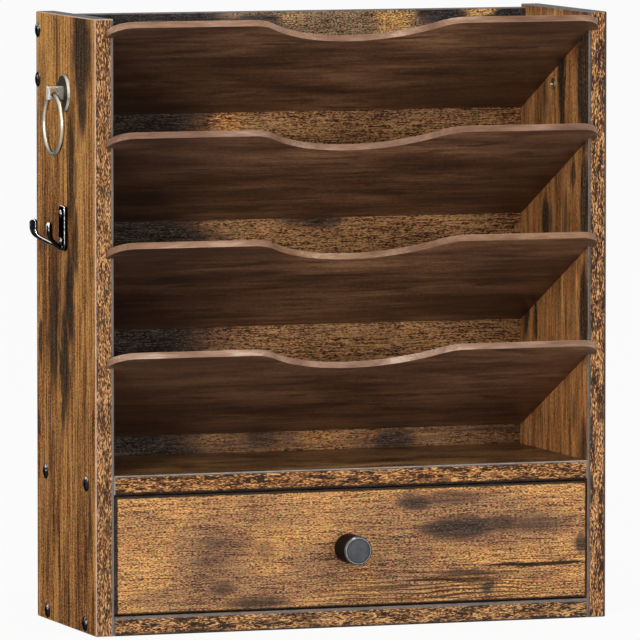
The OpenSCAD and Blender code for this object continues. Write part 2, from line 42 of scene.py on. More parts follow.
class Shader:
    """One procedural material in object coordinates, with a principled shader."""

    def __init__(self, name, **constants):
        self.material = bpy.data.materials.new(name)
        self.material.use_nodes = True
        self.tree = self.material.node_tree
        self.tree.nodes.clear()
        output = self.tree.nodes.new("ShaderNodeOutputMaterial")
        self.surface = self.tree.nodes.new("ShaderNodeBsdfPrincipled")
        self.tree.links.new(self.surface.outputs["BSDF"], output.inputs["Surface"])
        self.place = self.tree.nodes.new("ShaderNodeTexCoord").outputs["Object"]
        for key, value in constants.items():
            self.surface.inputs[key.replace("_", " ")].default_value = value

    def feed(self, socket, value):
        """Links a socket to another, or sets it, or leaves it where the value is None."""
        if isinstance(value, bpy.types.NodeSocket):
            self.tree.links.new(value, socket)
        elif value is not None:
            if socket.type == "RGBA" and len(value) == 3:
                value = (*value, 1.0)
            socket.default_value = value

    def math(self, operation, a, b=None, c=None, clamp=False):
        node = self.tree.nodes.new("ShaderNodeMath")
        node.operation = operation
        node.use_clamp = clamp
        for socket, value in zip(node.inputs, (a, b, c)):
            self.feed(socket, value)
        return node.outputs[0]

    def vector(self, operation, a, b=None):
        node = self.tree.nodes.new("ShaderNodeVectorMath")
        node.operation = operation
        self.feed(node.inputs[0], a)
        self.feed(node.inputs[1], b)
        return node.outputs["Value" if operation in ("LENGTH", "DOT_PRODUCT") else "Vector"]

    def scaled(self, scale, shift=(0, 0, 0), place=None):
        node = self.tree.nodes.new("ShaderNodeMapping")
        self.feed(node.inputs["Vector"], place or self.place)
        node.inputs["Scale"].default_value = scale
        node.inputs["Location"].default_value = shift
        return node.outputs[0]

    def noise(self, place, detail, roughness, distortion=0.0, color=False):
        node = self.tree.nodes.new("ShaderNodeTexNoise")
        self.feed(node.inputs["Vector"], place)
        node.inputs["Scale"].default_value = 1.0
        node.inputs["Detail"].default_value = detail
        node.inputs["Roughness"].default_value = roughness
        node.inputs["Distortion"].default_value = distortion
        return node.outputs["Color" if color else "Fac"]

    def remap(self, value, low, high, to_low=0.0, to_high=1.0, smooth=False):
        node = self.tree.nodes.new("ShaderNodeMapRange")
        node.interpolation_type = "SMOOTHSTEP" if smooth else "LINEAR"
        self.feed(node.inputs["Value"], value)
        ends = {"From Min": low, "From Max": high, "To Min": to_low, "To Max": to_high}
        for name, number in ends.items():
            node.inputs[name].default_value = number
        return node.outputs[0]

    def ramp(self, value, stops):
        node = self.tree.nodes.new("ShaderNodeValToRGB")
        self.feed(node.inputs[0], value)
        elements = node.color_ramp.elements
        while len(elements) < len(stops):
            elements.new(0.5)
        for element, (position, color) in zip(elements, stops):
            element.position = position
            element.color = (*color, 1.0)
        return node.outputs["Color"]

    def mix(self, factor, a, b, blend="MIX"):
        node = self.tree.nodes.new("ShaderNodeMix")
        node.data_type = "RGBA"
        node.blend_type = blend
        self.feed(node.inputs["Factor"], factor)
        self.feed(node.inputs[6], a)
        self.feed(node.inputs[7], b)
        return node.outputs[2]

    def times(self, color, tint):
        """A colour multiplied by a tint."""
        return self.mix(1.0, color, tint, "MULTIPLY")

    def cast(self, amount, color, tint):
        """A colour that goes towards its product with a tint."""
        return self.mix(amount, color, self.times(color, tint))

    def axis(self, letter, place=None):
        node = self.tree.nodes.new("ShaderNodeSeparateXYZ")
        self.feed(node.inputs[0], place or self.place)
        return node.outputs[letter]

    def facing(self, direction):
        """How squarely the surface faces a direction, fixed to the object."""
        normal = self.tree.nodes.new("ShaderNodeNewGeometry").outputs["Normal"]
        return self.vector("DOT_PRODUCT", normal, direction)

    def bump(self, height, distance, strength):
        """Relief of a distance in mm."""
        node = self.tree.nodes.new("ShaderNodeBump")
        node.inputs["Strength"].default_value = strength
        node.inputs["Distance"].default_value = distance * MM
        self.feed(node.inputs["Height"], height)
        self.feed(self.surface.inputs["Normal"], node.outputs["Normal"])

    def wear(self, place, offset, spread):
        """The place moved about by a soft noise, by up to about half of spread each way, in mm."""
        shift = self.vector("SUBTRACT", self.noise(offset, 2.0, 0.5, color=True), (0.5, 0.5, 0.5))
        return self.vector("ADD", place, self.vector("MULTIPLY", shift, (spread * MM,) * 3))

    def done(self, color, roughness):
        self.feed(self.surface.inputs["Base Color"], color)
        self.feed(self.surface.inputs["Roughness"], roughness)
        return self.material


def along(axis, length, across):
    """Noise scale for a grain that runs along one axis: features are length by across millimetres."""
    scale = [1.0 / (across * MM)] * 3
    scale["XYZ".index(axis)] = 1.0 / (length * MM)
    return scale


def even(per_metre):
    """Noise scale that is the same all ways, as a number of features in a metre."""
    return (per_metre,) * 3


def offsets(seed, *steps):
    """Three places far apart in the noise, so that the layers of one seed don't repeat each other."""
    x, y, z = (seed * step for step in steps)
    return (x, y, z), (y, z, x), (z, x, y)


def centred(shader, parts, level):
    """Sum of noises, each taken about its middle and weighted, around a level."""
    total = level
    for value, weight in parts:
        total = shader.math("MULTIPLY_ADD", value, weight, shader.math("SUBTRACT", total, 0.5 * weight))
    return total


# Woods

PURPLISH = (0.54, 0.57, 0.82)
GOLDEN = (2.5, 2.1, 1.25)
PORE = (0.20, 0.18, 0.17)
GROWTH_RING = (0.070, 0.032, 0.015)
CRACK = (0.020, 0.011, 0.008)
BAND_INK = (0.032, 0.0200, 0.0150)
# Distance between growth rings in mm, and how far a noise shifts their phase, in radians
RING_PITCH = 2.3
RING_SWAY = 38.0
WARM = [
    (0.0, (0.074, 0.042, 0.032)),
    (0.25, (0.200, 0.092, 0.042)),
    (0.50, (0.385, 0.178, 0.068)),
    (0.75, (0.620, 0.312, 0.108)),
    (1.0, (0.880, 0.500, 0.160)),
]
OCHRE = [
    (0.0, (0.045, 0.020, 0.011)),
    (0.25, (0.145, 0.054, 0.0165)),
    (0.50, (0.300, 0.121, 0.0360)),
    (0.75, (0.460, 0.212, 0.0650)),
    (1.0, (0.640, 0.332, 0.1000)),
]
COAL = [
    (0.0, (0.006, 0.0048, 0.0038)),
    (0.5, (0.026, 0.0190, 0.0130)),
    (1.0, (0.120, 0.0800, 0.0520)),
]
BAND_TAN = [
    (0.0, (0.130, 0.052, 0.019)),
    (0.30, (0.280, 0.120, 0.041)),
    (0.62, (0.490, 0.236, 0.082)),
    (1.0, (0.860, 0.510, 0.185)),
]
WALNUT = [
    (0.0, (0.070, 0.033, 0.0200)),
    (0.35, (0.145, 0.068, 0.0375)),
    (0.65, (0.248, 0.120, 0.0610)),
    (1.0, (0.410, 0.210, 0.1120)),
]
WALNUT_KNOT = (0.045, 0.026, 0.019)
# Painted shade of a letter board's face
WALNUT_PAINTED_SHADE = (0.044, 0.024, 0.0180)
WALNUT_BAND = [
    (0.0, (0.150, 0.074, 0.044)),
    (0.45, (0.245, 0.134, 0.081)),
    (0.75, (0.325, 0.190, 0.120)),
    (1.0, (0.460, 0.315, 0.225)),
]
# Painted highlight on a letter board's upper edge arris, and painted shade on its lower one
WALNUT_PAINTED_HIGHLIGHT = (0.520, 0.370, 0.285)
WALNUT_EDGE_PAINTED_SHADE = (0.075, 0.042, 0.028)
CHIPS = [
    (0.0, (0.060, 0.032, 0.016)),
    (0.5, (0.210, 0.128, 0.070)),
    (1.0, (0.380, 0.262, 0.160)),
]
FIBRE_DARK = (0.090, 0.045, 0.022)
FIBRE_LIGHT = (0.230, 0.130, 0.070)


def stains(shader, plane, spots, place):
    """How near a place is to the stains: full within 0.3 of a stain's half size, and none beyond 1.6.

    A stain is its centre on the plane's two axes, its half sizes there, in mm, and its strength.
    """
    total = 0.0
    for first, second, half_first, half_second, strength in spots:
        centre = [0.0, 0.0, 0.0]
        size = [0.0, 0.0, 0.0]
        for letter, value, half in ((plane[0], first, half_first), (plane[1], second, half_second)):
            index = "XYZ".index(letter)
            centre[index] = value * MM
            size[index] = 1.0 / (half * MM)
        apart = shader.vector("MULTIPLY", shader.vector("SUBTRACT", place, centre), size)
        spot = shader.remap(shader.vector("LENGTH", apart), 0.30, 1.60, strength, 0.0, smooth=True)
        total = shader.math("MAXIMUM", total, spot)
    return total


def rimmed(shader, color, rims):
    """Tints strips along a face's edges.

    A rim is its axis and its edge there, in metres, then its width in mm, its tint and its strength.
    """
    for letter, edge, width, tint, strength in rims:
        distance = shader.math("ABSOLUTE", shader.math("SUBTRACT", shader.axis(letter), edge))
        wobble = shader.noise(shader.scaled(even(190)), 2, 0.6)
        distance = shader.math("MULTIPLY_ADD", wobble, -0.7 * width * MM, distance)
        inside = shader.remap(distance, 0.35 * width * MM, 0.85 * width * MM, strength, 0.0, smooth=True)
        color = shader.mix(inside, color, tint)
    return color


def growth_rings(shader, color, grain, plane, rings, place, shift):
    """Lays wavy lines along the grain where the rings' stains are."""
    across = shader.axis(plane.replace(grain, ""), place)
    phase = shader.math("MULTIPLY", across, 2 * math.pi / (RING_PITCH * MM))
    sway = shader.noise(shader.scaled(along(grain, 95, 26), shift), 2, 0.5)
    wave = shader.math("SINE", shader.math("MULTIPLY_ADD", sway, RING_SWAY, phase))
    ring = shader.remap(wave, 0.0, 0.9, 0.0, 0.8)
    ring = shader.math("MULTIPLY", ring, stains(shader, plane, rings, place), clamp=True)
    return shader.mix(ring, color, GROWTH_RING)


def cracked(shader, color, grain, plane, lines, fine, shift):
    """Lays thin bent cracks along the grain. A crack is given as a stain is."""
    bent = shader.wear(shader.place, shader.scaled(along(grain, 40, 12), shift), 5)
    for *shape, strength in lines:
        crack = centred(shader, ((fine, 0.8),), stains(shader, plane, [(*shape, 1.0)], bent))
        color = shader.mix(shader.remap(crack, 0.40, 0.80, 0.0, strength, smooth=True), color, CRACK)
    return color


def rustic(
    name, grain, seed, tones, plane, spots=(), lines=(), tints=(), rings=(), rims=(), fades=(), gleams=(),
    clouds=0.0, gain=None, gloss=0.05, roughness=0.50, coarse=1.0, lift=None, tear=8.0, pit=0.75, soot=None,
    mass=(60, 20, 0.65), run=(95, 2.6, 0.8), hair=(8, 0.65, 1.8), dots=(1.4, 0.60, 3.2),
):
    """Printed rustic laminate: cloudy tones, long streaks, fine pores, dark stains and a fine grain relief.

    mass, run, hair and dots are the length and breadth in mm, and the weight, of its four noises.
    spots, tints, rings and gleams are stains: black, purplish, of growth rings and golden.
    lines are cracks, and rims are tinted edges. gain tints the whole, and soot the stains' black.
    A fade is an axis, a start and an end in mm, and a strength, and is darkest at its start.
    lift has the same form, and lightens towards its end.
    clouds is the share of dark clouds, coarse the size of clouds and pores, pit the depth of the pores.
    tear is how far, in mm, the stains' edges are pulled about.
    """
    shader = Shader(name, Specular_IOR_Level=gloss)
    shift, turned, swapped = offsets(seed, 3.7, 5.1, 7.3)
    place = shader.wear(shader.place, shader.scaled(along(grain, 110, 26), shift), 7)

    # Tone
    broad = shader.noise(shader.scaled(along(grain, *mass[:2]), shift, place), 3, 0.55, 0.5)
    streak = shader.noise(shader.scaled(along(grain, *run[:2]), turned, place), 4, 0.62, 0.2)
    fine = shader.noise(shader.scaled(along(grain, *hair[:2]), shift, place), 3, 0.62)
    speck = shader.noise(shader.scaled(along(grain, *dots[:2]), swapped), 1, 0.5)
    tone = centred(shader, ((broad, mass[2]), (streak, run[2]), (fine, hair[2]), (speck, dots[2])), 0.54)
    if lift:
        letter, start, end, amount = lift
        lifted = shader.remap(shader.axis(letter), start * MM, end * MM, 0.0, amount)
        tone = shader.math("ADD", tone, lifted)
    color = shader.ramp(tone, tones)

    # Hue
    hue = shader.noise(shader.scaled(along(grain, 50, 16), swapped, place), 2, 0.5)
    hue = centred(shader, ((hue, 1.0), (speck, 0.35)), 0.5)
    hue = shader.remap(hue, 0.46, 0.66, 0.0, 0.42, smooth=True)
    if tints:
        mottle = centred(shader, ((fine, 1.2), (speck, 0.8)), 0.0)
        tint = shader.math("ADD", stains(shader, plane, tints, place), mottle)
        hue = shader.math("MAXIMUM", hue, shader.remap(tint, 0.10, 0.80, 0.0, 0.80, smooth=True))
    color = shader.cast(hue, color, PURPLISH)
    tinge = shader.scaled(along(grain, dots[0], dots[1] * 1.4), turned)
    tinge = shader.noise(tinge, 1, 0.5, color=True)
    color = shader.cast(0.5, color, shader.vector("ADD", tinge, tinge))
    if rings:
        color = growth_rings(shader, color, grain, plane, rings, place, turned)

    # Dark clouds and stains, and golden gleams
    near = 0.0
    if clouds:
        cloud = shader.noise(shader.scaled(along(grain, 70, 9 * coarse), turned, place), 3, 0.55, 0.6)
        near = shader.remap(cloud, 1.0 - clouds, 1.22 - clouds, 0.0, 1.0)
    ragged = shader.wear(place, shader.scaled(along(grain, 26, 7), turned), tear)
    ragged = shader.wear(ragged, shader.scaled(along(grain, 7, 1.8), swapped), 0.8 * tear)
    if spots:
        near = shader.math("MAXIMUM", near, stains(shader, plane, spots, ragged))
    for letter, start, end, strength in fades:
        fade = shader.remap(shader.axis(letter, place), start * MM, end * MM, strength, 0.0, smooth=True)
        near = shader.math("MAXIMUM", near, fade)
    if gleams:
        gleam = stains(shader, plane, gleams, ragged)
        near = shader.math("MULTIPLY_ADD", gleam, -2.0, near)
        color = shader.cast(gleam, color, GOLDEN)
    fibre = centred(shader, ((streak, 1.7), (fine, 0.67 * hair[2]), (speck, 0.6 * dots[2])), 0.0)
    dark = shader.remap(shader.math("ADD", near, fibre), 0.30, 0.80, 0.0, 0.93, smooth=True)
    coal = shader.ramp(centred(shader, ((fine, 2.0), (speck, 2.2)), 0.40), COAL)
    if soot:
        coal = shader.times(coal, soot)
    color = shader.mix(dark, color, coal)

    # Cracks, pores and rims
    if lines:
        color = cracked(shader, color, grain, plane, lines, fine, turned)
    pores = shader.scaled(along(grain, 8.0 * coarse * coarse, 0.85 * coarse), turned, place)
    pore = shader.remap(shader.noise(pores, 2, 0.6), 0.33, 0.43, pit, 0.0, smooth=True)
    color = shader.cast(pore, color, PORE)
    if gain:
        color = shader.times(color, gain)
    color = rimmed(shader, color, rims)
    shader.bump(centred(shader, ((fine, 1.0), (pore, -0.8), (dark, -0.4)), 0.5), 0.12, 0.5)
    return shader.done(color, shader.remap(fine, 0.25, 0.75, roughness + 0.10, roughness - 0.10))


def edge_band(name, grain, seed, gain, rims, blobs=0.0, ink=0.96):
    """Edge band of the laminate: tan, thick with short black squiggles along the board.

    ink is the squiggles' strength, and blobs that of larger black blots.
    """
    shader = Shader(name, Specular_IOR_Level=0.05)
    shift, turned, swapped = offsets(seed, 2.3, 4.9, 6.1)
    place = shader.wear(shader.place, shader.scaled(along(grain, 9, 4), shift), 2.5)
    broad = shader.noise(shader.scaled(along(grain, 26, 9), shift), 3, 0.5)
    fine = shader.noise(shader.scaled(along(grain, 2.2, 0.58), shift, place), 1, 0.5)
    color = shader.ramp(centred(shader, ((fine, 4.4), (broad, 1.2)), 0.52), BAND_TAN)
    squiggle = shader.noise(shader.scaled(along(grain, 5.5, 0.80), swapped, place), 2, 0.6, 0.8)
    patch = shader.noise(shader.scaled(along(grain, 20, 3), turned), 2, 0.5)
    dark = centred(shader, ((squiggle, 1.0), (patch, 0.6)), 0.5)
    dark = shader.remap(dark, 0.505, 0.560, 0.0, ink, smooth=True)
    if blobs:
        blob = shader.noise(shader.scaled(along(grain, 16, 4.5), swapped), 3, 0.6, 0.5)
        blob = centred(shader, ((blob, 1.0), (fine, 0.35)), 0.5)
        dark = shader.math("MAXIMUM", dark, shader.remap(blob, 0.60, 0.66, 0.0, blobs, smooth=True))
    color = rimmed(shader, shader.times(shader.mix(dark, color, BAND_INK), gain), rims)
    shader.bump(centred(shader, ((fine, 1.0), (dark, -1.0)), 0.5), 0.18, 0.6)
    return shader.done(color, shader.remap(fine, 0.3, 0.7, 0.62, 0.46))


def arris(name, base, light):
    """Thin eased arris of a laminated board, rubbed in places."""
    shader = Shader(name, Specular_IOR_Level=0.02)
    rubbed = shader.noise(shader.scaled(even(120)), 3, 0.6)
    grain = shader.noise(shader.scaled(even(700)), 2, 0.6)
    tone = centred(shader, ((grain, 0.8), (rubbed, 1.6)), 0.5)
    return shader.done(shader.mix(tone, base, light), 0.42)


def walnut(name, seed, deep):
    """Face of a letter board: dark reddish walnut, fine grained and half gloss.

    It is darkened by painted shade towards both ends, and by deep in its middle.
    """
    shader = Shader(name, Specular_IOR_Level=0.22)
    shift, _, turned = offsets(seed, 3.1, 2.7, 5.3)
    place = shader.wear(shader.place, shader.scaled(along("X", 120, 30), shift), 7)
    broad = shader.noise(shader.scaled(along("X", 90, 22), shift, place), 3, 0.5, 0.3)
    streak = shader.noise(shader.scaled(along("X", 60, 3.4), turned, place), 4, 0.6, 0.2)
    fine = shader.noise(shader.scaled(along("X", 18, 1.2), shift, place), 3, 0.6)
    speck = shader.noise(shader.scaled(along("X", 2.4, 0.8), turned), 2, 0.6)
    tone = centred(shader, ((broad, 2.0), (streak, 1.2), (fine, 0.8), (speck, 1.3)), 0.5)
    color = shader.ramp(tone, WALNUT)
    knot = shader.noise(shader.scaled(along("X", 42, 8), turned, place), 3, 0.6, 0.5)
    knot = centred(shader, ((fine, 0.7),), knot)
    color = shader.mix(shader.remap(knot, 0.55, 0.68, 0.0, 0.75, smooth=True), color, WALNUT_KNOT)
    # Painted shade towards both ends of the board, and by deep in its middle
    left = shader.remap(shader.axis("X"), -155 * MM, 10 * MM, 0.68, deep, smooth=True)
    right = shader.remap(shader.axis("X"), 40 * MM, 140 * MM, deep, 0.46, smooth=True)
    color = shader.mix(shader.math("MAXIMUM", left, right), color, WALNUT_PAINTED_SHADE)
    shader.bump(fine, 0.07, 0.45)
    return shader.done(color, shader.remap(fine, 0.25, 0.75, 0.40, 0.30))


def walnut_edge(name, seed, gain):
    """Edge band of a letter board: pinkish tan, with a painted highlight on its upper arris and painted
    shade on its lower one.
    """
    shader = Shader(name, Specular_IOR_Level=0.2)
    shift = offsets(seed, 1.9, 4.3, 3.3)[0]
    broad = shader.noise(shader.scaled(along("X", 40, 12), shift), 2, 0.5)
    fine = shader.noise(shader.scaled(along("X", 12, 1.1), shift), 3, 0.6)
    color = shader.times(shader.ramp(centred(shader, ((fine, 1.1), (broad, 2.1)), 0.5), WALNUT_BAND), gain)
    # Painted highlight on the upward arris and painted shade on the downward one, chosen by facing
    upper = shader.remap(shader.facing((0.0, -0.35, 0.94)), 0.78, 0.96, 0.0, 0.62, smooth=True)
    lower = shader.remap(shader.facing((0.0, -0.93, -0.36)), 0.76, 0.94, 0.0, 0.75, smooth=True)
    color = shader.mix(lower, shader.mix(upper, color, WALNUT_PAINTED_HIGHLIGHT), WALNUT_EDGE_PAINTED_SHADE)
    shader.bump(fine, 0.06, 0.5)
    return shader.done(color, 0.40)


def hardboard(name, seed):
    """Plain brown fibre board, for faces that stay bare."""
    shader = Shader(name)
    shift = offsets(seed, 1.0, 2.0, 3.0)[0]
    fibre = shader.noise(shader.scaled(even(420), shift), 4, 0.7)
    cloud = shader.noise(shader.scaled(even(30), shift), 3, 0.5)
    tone = shader.math("MULTIPLY_ADD", fibre, 0.6, shader.math("MULTIPLY", cloud, 0.5))
    color = shader.mix(shader.remap(tone, 0.35, 0.75), FIBRE_DARK, FIBRE_LIGHT)
    shader.bump(fibre, 0.1, 0.5)
    return shader.done(color, 0.75)


def particle_core(name):
    """Cut particle board inside a groove or hole."""
    shader = Shader(name)
    chip = shader.noise(shader.scaled(even(650)), 3, 0.7)
    color = shader.ramp(shader.remap(chip, 0.30, 0.70), CHIPS)
    shader.bump(chip, 0.2, 0.6)
    return shader.done(color, 0.85)


# Metals

# A direction between the key and the overhead lamp, and the grey of the painted highlight on faces that
# face it
TO_LAMP = (-0.42, -0.55, 0.72)
PAINTED_LAMP_GLINT = (0.900, 0.900, 0.900)
KNOB_RIM_PAINTED_HIGHLIGHT = (0.30, 0.30, 0.30)
KNOB_DARK_RING = (0.020, 0.021, 0.024)


def metal(name, dark, light, roughness, grazing=1.0, edge=None, brush=False, turned=None, ring=None):
    """Metal with soft tarnish patches and fine scratches.

    A low grazing value keeps dark plating dark at a slant, and edge is a painted dark reflection laid where
    the surface is seen at a slant.
    turned is how squarely a place must face TO_LAMP to get a painted highlight.
    ring is a painted highlight line with a darker ring inside it: its centre's x and z and its radius, in
    metres.
    """
    shader = Shader(name, Metallic=1.0, Specular_Tint=(grazing, grazing, grazing, 1.0))
    tarnish = shader.noise(shader.scaled(even(180)), 4, 0.6, 0.4)
    fine = shader.noise(shader.scaled((1400, 1400, 110) if brush else even(1800)), 2, 0.6)
    color = shader.mix(centred(shader, ((fine, 0.9), (tarnish, 1.7)), 0.55), dark, light)
    # Painted dark reflection where the surface is seen at a slant
    if edge:
        slant = shader.tree.nodes.new("ShaderNodeLayerWeight")
        slant.inputs["Blend"].default_value = 0.5
        color = shader.mix(shader.remap(slant.outputs["Facing"], 0.16, 0.66, 0.0, 0.94), color, edge)
    # Painted highlight where a face turns towards the lamps
    if turned:
        patches = shader.noise(shader.scaled(even(420)), 2, 0.6)
        painted_glint_mask = centred(shader, ((patches, 0.9),), shader.facing(TO_LAMP))
        painted_glint_mask = shader.remap(painted_glint_mask, turned, turned + 0.25, 0.0, 1.0, smooth=True)
        color = shader.mix(painted_glint_mask, color, PAINTED_LAMP_GLINT)
    if ring:
        apart = shader.vector("SUBTRACT", shader.place, (ring[0], 0.0, ring[1]))
        radius = shader.vector("LENGTH", shader.vector("MULTIPLY", apart, (1.0, 0.0, 1.0)))
        line = shader.math("ABSOLUTE", shader.math("SUBTRACT", radius, ring[2]))
        # Painted highlight along the knob's rim, and a darker ring inside it
        color = shader.mix(shader.remap(line, 0.25 * MM, 0.60 * MM, 0.85, 0.0), color, KNOB_RIM_PAINTED_HIGHLIGHT)
        inner_ring = shader.math("ABSOLUTE", shader.math("SUBTRACT", radius, ring[2] - 1.1 * MM))
        color = shader.mix(shader.remap(inner_ring, 0.20 * MM, 0.70 * MM, 0.6, 0.0), color, KNOB_DARK_RING)
    shader.bump(fine, 0.006, 0.15)
    return shader.done(color, shader.remap(tarnish, 0.3, 0.7, roughness + 0.08, roughness - 0.05))


# Giving the CAD nodes their materials, face by face


def paint(node, materials, choose=None):
    """Gives a CAD node its materials. choose(normal, centre) says which of them a face gets."""
    piece = nodes[node]
    piece.data.materials.clear()
    for material in materials:
        piece.data.materials.append(material)
    if choose:
        for polygon in piece.data.polygons:
            polygon.material_index = choose(polygon.normal, polygon.center)


# Corners nearer than WELD are one, faces that meet within FLAT are one, and edges beyond SHARP are rounded
WELD = 0.001 * MM
FLAT = math.radians(1.0)
SHARP = math.radians(32)
# How far the large faces' normals win over the small ones'
FACE_WEIGHT = 80


def eased(node, width, segments, slot=-1, flat=False):
    """Rounds a node's sharp edges by a small width in mm.

    slot is the material of the new round, if it has its own; flat joins the triangles of flat faces first.
    """
    piece = nodes[node]
    for polygon in piece.data.polygons:
        polygon.use_smooth = True
    if "custom_normal" in piece.data.attributes:
        piece.data.attributes.remove(piece.data.attributes["custom_normal"])
    weld = piece.modifiers.new("weld", "WELD")
    weld.merge_threshold = WELD
    if flat:
        joined = piece.modifiers.new("joined", "DECIMATE")
        joined.decimate_type = "DISSOLVE"
        joined.angle_limit = FLAT
        joined.delimit = {"MATERIAL"}
    bevel = piece.modifiers.new("bevel", "BEVEL")
    bevel.width = width * MM
    bevel.segments = segments
    bevel.material = slot
    bevel.limit_method = "ANGLE"
    bevel.angle_limit = SHARP
    bevel.use_clamp_overlap = not flat
    normals = piece.modifiers.new("normals", "WEIGHTED_NORMAL")
    normals.weight = FACE_WEIGHT


front_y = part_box("left_side_panel")[0].y
outer_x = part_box("right_side_panel")[1].x
left_low, left_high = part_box("left_side_panel")
right_low, right_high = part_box("right_side_panel")
shelf_low, shelf_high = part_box("drawer_shelf")
base_low, base_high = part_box("bottom_board")
front_low, front_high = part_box("drawer_front")

# Stains on the left panel and on the panels' inner faces are given as y and z, the others as x and z
left_spots = [
    (-34, 358, 19, 30, 1.15), (-36, 322, 9, 16, 0.75), (-13, 284, 8, 42, 0.92), (-17, 240, 7, 26, 0.90),
    (24, 186, 11, 46, 0.95), (-8, 206, 10, 30, 1.0), (2, 168, 9, 36, 1.05), (6, 138, 4, 22, 0.85),
    (52, 172, 5, 14, 0.9), (58, 122, 3, 9, 0.9), (-47, 72, 4, 26, 0.72), (42, 282, 6, 13, 0.45),
    (48, 236, 6, 12, 0.55), (40, 30, 4, 10, 0.45), (-40, 150, 5, 30, 0.5), (30, 90, 4, 30, 0.5),
]
left_lines = [
    (17, 352, 1.8, 42, 0.75), (12, 350, 1.2, 30, 0.5), (-24, 60, 1.4, 50, 0.55), (14, 60, 1.4, 42, 0.5),
]
right_spots = [
    (-53, 338, 13, 46, 1.20), (-13, 327, 7, 34, 1.05), (-55, 262, 10, 30, 1.0), (-34, 278, 5, 14, 0.8),
    (14, 244, 12, 16, 0.70), (-20, 250, 10, 22, 0.55), (-54, 192, 11, 30, 1.0), (50, 188, 6, 22, 1.0),
    (34, 182, 4, 18, 0.80), (-38, 128, 10, 14, 0.45), (-54, 108, 9, 26, 0.65), (20, 318, 9, 26, 0.40),
]
front_spots = [
    (68, 59.5, 25, 6.4, 1.08), (94, 61.5, 18, 4.6, 0.66), (117, 61.5, 22, 4.6, 0.44),
    (40, 77, 12, 5.0, 0.88), (62, 78, 24, 3.5, 0.50), (90, 22.7, 3.6, 3.6, 1.0),
    (-62, 17, 21, 3.8, 0.84), (-86, 27, 9, 5.5, 0.50), (-90, 48, 14, 14, 0.34),
    (-58, 49, 7, 5, 0.36), (74, 31, 20, 2.4, 0.70), (151, 47, 4, 6, 0.90),
]
front_tints = [
    (32, 40, 20, 26, 0.9), (-92, 46, 26, 26, 1.0), (-60, 70, 40, 10, 0.5), (-22, 38, 22, 16, 0.9),
    (-110, 22, 34, 8, 0.95), (60, 72, 60, 9, 0.8), (90, 60, 62, 12, 0.9), (20, 62, 26, 12, 0.6),
    (-60, 26, 40, 10, 0.8),
]
front_rings = [(70, 22, 64, 10, 1.3), (0, 21, 24, 8, 1.0)]
front_lines = [
    (104, 35.4, 22, 1.0, 0.95), (132, 34.6, 26, 1.15, 0.93), (66, 27.5, 36, 1.1, 0.85),
    (16, 24.0, 20, 0.9, 0.7), (92, 30.5, 22, 0.8, 0.5),
]
rail_spots = [(-20, 372, 24, 5, 0.6)]
rail_gleams = [(67, 366, 12, 14, 0.95), (122, 378, 11, 6, 0.90), (0, 374, 9, 6, 0.35)]
back_spots = [
    (14, 247, 26, 6, 0.8), (110, 180, 20, 6, 0.5), (70, 104, 17, 9, 0.85), (-20, 106, 15, 8, 0.60),
]
back_gleams = [(24, 108, 18, 7, 0.12), (-41, 308, 10, 7, 0.35)]

GREY = (0.175, 0.148, 0.132)
MID_GREY = (0.110, 0.092, 0.078)
BROWN_GREY = (0.105, 0.082, 0.070)
DARK_GREY = (0.048, 0.038, 0.033)
# Painted shade of the gap around the drawer, laid along the edges beside it
PAINTED_GAP_SHADE = (0.014, 0.011, 0.010)
SIDE_GRAIN = {
    "gloss": 0.004, "coarse": 1.7, "mass": (110, 16, 1.3), "run": (350, 5.0, 1.1), "hair": (90, 1.2, 2.5),
    "dots": (1.0, 1.2, 1.7),
}

left_face = rustic(
    "left_laminate", "Z", 1, OCHRE, "YZ", left_spots, left_lines,
    rims=[("Y", left_high.y, 1.6, DARK_GREY, 0.9)],
    clouds=0.24, gain=(1.04, 1.04, 1.04), lift=("Z", 240, 330, 0.19), tear=12.0, **SIDE_GRAIN)
outer_face = rustic("outer_laminate", "Z", 6, OCHRE, "YZ", clouds=0.28, **SIDE_GRAIN)
# The right inner face's gain brightens it as painted light falling inside the frame; its fade makes it
# darker towards the top.
right_face = rustic(
    "right_inner_laminate", "Z", 8, OCHRE, "YZ", right_spots, fades=[("Z", 384, 362, 0.62)],
    clouds=0.20, gain=(1.66, 1.72, 1.90), gloss=0.03, coarse=1.6,
    mass=(90, 14, 1.3), run=(300, 4.5, 0.7), hair=(70, 1.3, 0.9), dots=(2.0, 1.2, 0.9))
# The drawer front's four rims are painted shade of the gap around it.
front_face = rustic(
    "front_laminate", "X", 3, WARM, "XZ", front_spots, front_lines, front_tints, front_rings,
    rims=[("X", front_low.x, 1.5, PAINTED_GAP_SHADE, 0.92), ("X", front_high.x, 1.2, PAINTED_GAP_SHADE, 0.90),
          ("Z", front_low.z, 1.3, PAINTED_GAP_SHADE, 0.85), ("Z", front_high.z, 1.4, PAINTED_GAP_SHADE, 0.92)],
    clouds=0.22, gain=(0.99, 0.94, 0.92), tear=4.5, pit=0.35, soot=(1.25, 1.40, 1.60),
    mass=(60, 20, 0.55), run=(95, 2.0, 0.7), hair=(28, 0.52, 4.0), dots=(1.8, 0.50, 4.3))
shelf_face = rustic(
    "shelf_laminate", "X", 9, OCHRE, "XY", clouds=0.40, gain=(0.70, 0.78, 0.98), roughness=0.30,
    mass=(50, 30, 1.8), run=(60, 14, 1.8))
rail_face = rustic(
    "rail_laminate", "X", 12, OCHRE, "XZ", rail_spots, gleams=rail_gleams,
    fades=[("X", -70, -30, 1.0), ("X", 110, 60, 0.9)], clouds=0.33, gain=(0.78, 1.12, 2.0))
